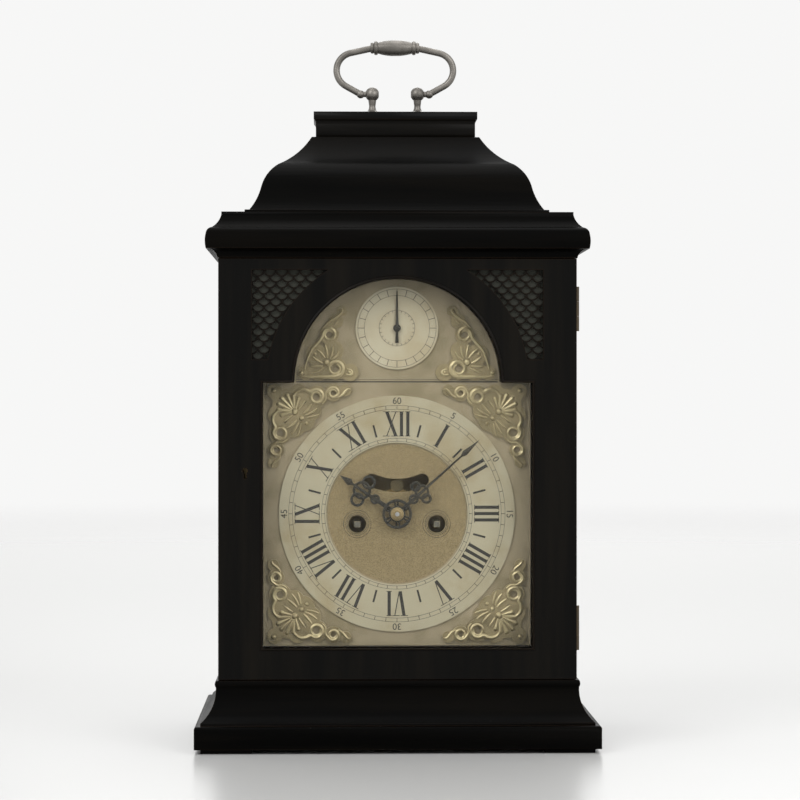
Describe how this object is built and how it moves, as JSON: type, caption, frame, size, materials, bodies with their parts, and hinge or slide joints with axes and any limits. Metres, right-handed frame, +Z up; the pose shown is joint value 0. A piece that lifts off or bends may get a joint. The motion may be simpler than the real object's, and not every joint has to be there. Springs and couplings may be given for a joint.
{
  "type": "bracket clock",
  "caption": "Ebonised bracket clock with a bell top, carrying handle, glazed break-arch door, brass dial with a silvered ring, and a spring movement with a bob pendulum.",
  "frame": {"origin": "middle of the base, on the surface that the clock stands on", "axes": "+X to the right of the dial, -Y out of the dial's front, +Z up"},
  "size_m": [0.271, 0.201, 0.487],
  "materials": {
    "ebonised_wood": "black-stained and polished fruitwood, worn a little brown at the edges",
    "inner_wood": "plain oak, unpolished",
    "silk": "faded grey-green silk behind the frets",
    "handle_brass": "dull, rubbed brass",
    "brass": "lacquered brass",
    "dial_brass": "matted and engraved brass",
    "gilt_brass": "cast, chased and gilt",
    "silvered_brass": "silvered brass with black-waxed engraving",
    "bell_metal": "turned bell metal",
    "steel": "filed steel",
    "hand_steel": "blued steel",
    "glass": "thin clear glass",
    "gut": "gut line"
  },
  "bodies": {
    "case": {"base_feet": "ebonised_wood", "base_moulding": "ebonised_wood", "case_boards": "inner_wood", "front_rails": "ebonised_wood", "case_side_left": "ebonised_wood", "case_side_right": "ebonised_wood", "side_frets": "ebonised_wood", "side_fret_silks": "silk", "back_frame": "ebonised_wood", "cornice_moulding": "ebonised_wood", "bell_top": "ebonised_wood", "top_cap": "ebonised_wood", "handle_posts": "handle_brass", "dial_mask": "ebonised_wood", "hinge_case_leaves": "brass", "seat_board": "inner_wood", "dial_plate": "dial_brass", "chapter_ring": "silvered_brass", "arch_disc": "silvered_brass", "dial_spandrels": "gilt_brass", "front_plate": "brass", "back_plate": "brass", "plate_pillars": "brass", "barrel_arbors": "steel", "gut_lines": "gut", "crown_potence": "brass", "back_cock": "brass", "bell": "bell_metal", "bell_stand": "steel"},
    "handle": {"carrying_handle": "handle_brass"},
    "front_door": {"front_door_frame": "ebonised_wood", "front_door_glass": "glass", "door_frets": "ebonised_wood", "door_fret_silks": "silk", "front_hinge_door_leaves": "brass", "front_lock": "brass"},
    "lock_bolt": {"front_lock_bolt": "steel"},
    "rear_door": {"rear_door_frame": "ebonised_wood", "rear_door_glass": "glass", "rear_hinge_door_leaves": "brass"},
    "turnbutton": {"rear_door_turnbutton": "brass"},
    "minute_work": {"centre_arbor": "steel", "centre_wheel": "brass", "cannon_wheel": "brass", "minute_hand": "hand_steel", "hand_collet": "brass"},
    "hour_work": {"hour_wheel": "brass", "hour_hand": "hand_steel"},
    "minute_wheel_body": {"minute_wheel": "brass"},
    "going_fusee_body": {"going_fusee": "brass"},
    "going_barrel_body": {"going_barrel": "brass"},
    "contrate_body": {"contrate_wheel": "brass"},
    "crown_body": {"crown_wheel": "brass"},
    "strike_fusee_body": {"strike_fusee": "brass"},
    "strike_barrel_body": {"strike_barrel": "brass"},
    "pendulum": {"verge_arbor": "steel", "pendulum_bob": "brass", "mock_bob": "brass"},
    "strike_silent": {"strike_silent_hand": "hand_steel"},
    "hammer": {"bell_hammer": "steel"}
  },
  "joints": [
    {"name": "handle_swing", "type": "hinge", "parent": "case", "child": "handle", "pos_m": [0, 0, 0.4491], "axis": [1, 0, 0], "range_deg": [-110, 110]},
    {"name": "front_door_swing", "type": "hinge", "parent": "case", "child": "front_door", "pos_m": [0.121, -0.06775, 0.1888], "axis": [0, 0, 1], "range_deg": [0, 110]},
    {"name": "front_lock_bolt_slide", "type": "slide", "parent": "front_door", "child": "lock_bolt", "axis": [-1, 0, 0], "range_m": [0, 0.004]},
    {"name": "rear_door_swing", "type": "hinge", "parent": "case", "child": "rear_door", "pos_m": [0.09175, 0.086, 0.1865], "axis": [0, 0, -1], "range_deg": [0, 110]},
    {"name": "rear_turnbutton_turn", "type": "hinge", "parent": "case", "child": "turnbutton", "pos_m": [-0.097, 0.086, 0.1865], "axis": [0, 1, 0], "range_deg": [0, 90]},
    {"name": "minute_spin", "type": "hinge", "parent": "case", "child": "minute_work", "pos_m": [0, -0.06, 0.158], "axis": [0, 1, 0], "continuous": true},
    {"name": "hour_spin", "type": "hinge", "parent": "case", "child": "hour_work", "pos_m": [0, -0.06, 0.158], "axis": [0, 1, 0], "continuous": true},
    {"name": "minute_wheel_spin", "type": "hinge", "parent": "case", "child": "minute_wheel_body", "pos_m": [0, -0.041, 0.14], "axis": [0, 1, 0], "continuous": true},
    {"name": "going_fusee_spin", "type": "hinge", "parent": "case", "child": "going_fusee_body", "pos_m": [0.0269, 0, 0.151], "axis": [0, 1, 0], "continuous": true},
    {"name": "going_barrel_spin", "type": "hinge", "parent": "case", "child": "going_barrel_body", "pos_m": [0.031, 0, 0.102], "axis": [0, 1, 0], "continuous": true},
    {"name": "contrate_spin", "type": "hinge", "parent": "case", "child": "contrate_body", "pos_m": [0, -0.008, 0.182], "axis": [0, 1, 0], "continuous": true},
    {"name": "crown_spin", "type": "hinge", "parent": "case", "child": "crown_body", "pos_m": [0, -0.005, 0.203], "axis": [0, 0, 1], "continuous": true},
    {"name": "strike_fusee_spin", "type": "hinge", "parent": "case", "child": "strike_fusee_body", "pos_m": [-0.0269, 0, 0.151], "axis": [0, 1, 0], "continuous": true},
    {"name": "strike_barrel_spin", "type": "hinge", "parent": "case", "child": "strike_barrel_body", "pos_m": [-0.031, 0, 0.102], "axis": [0, 1, 0], "continuous": true},
    {"name": "pendulum_swing", "type": "hinge", "parent": "case", "child": "pendulum", "pos_m": [0, 0, 0.219], "axis": [0, 1, 0], "range_deg": [-10, 10]},
    {"name": "strike_silent_turn", "type": "hinge", "parent": "case", "child": "strike_silent", "pos_m": [0, -0.06, 0.2837], "axis": [0, 1, 0], "range_deg": [-45, 45]},
    {"name": "hammer_lift", "type": "hinge", "parent": "case", "child": "hammer", "pos_m": [0.044, 0, 0.196], "axis": [0, 1, 0], "range_deg": [0, 8]}
  ],
  "couplings": [
    {"joint": "hour_spin", "follows": "minute_spin", "ratio": 0.083333},
    {"joint": "minute_wheel_spin", "follows": "minute_spin", "ratio": -1},
    {"joint": "going_fusee_spin", "follows": "minute_spin", "ratio": -0.083333},
    {"joint": "going_barrel_spin", "follows": "minute_spin", "ratio": -0.054924},
    {"joint": "contrate_spin", "follows": "minute_spin", "ratio": -12},
    {"joint": "crown_spin", "follows": "minute_spin", "ratio": -144},
    {"joint": "strike_barrel_spin", "follows": "strike_fusee_spin", "ratio": 0.65909}
  ]
}
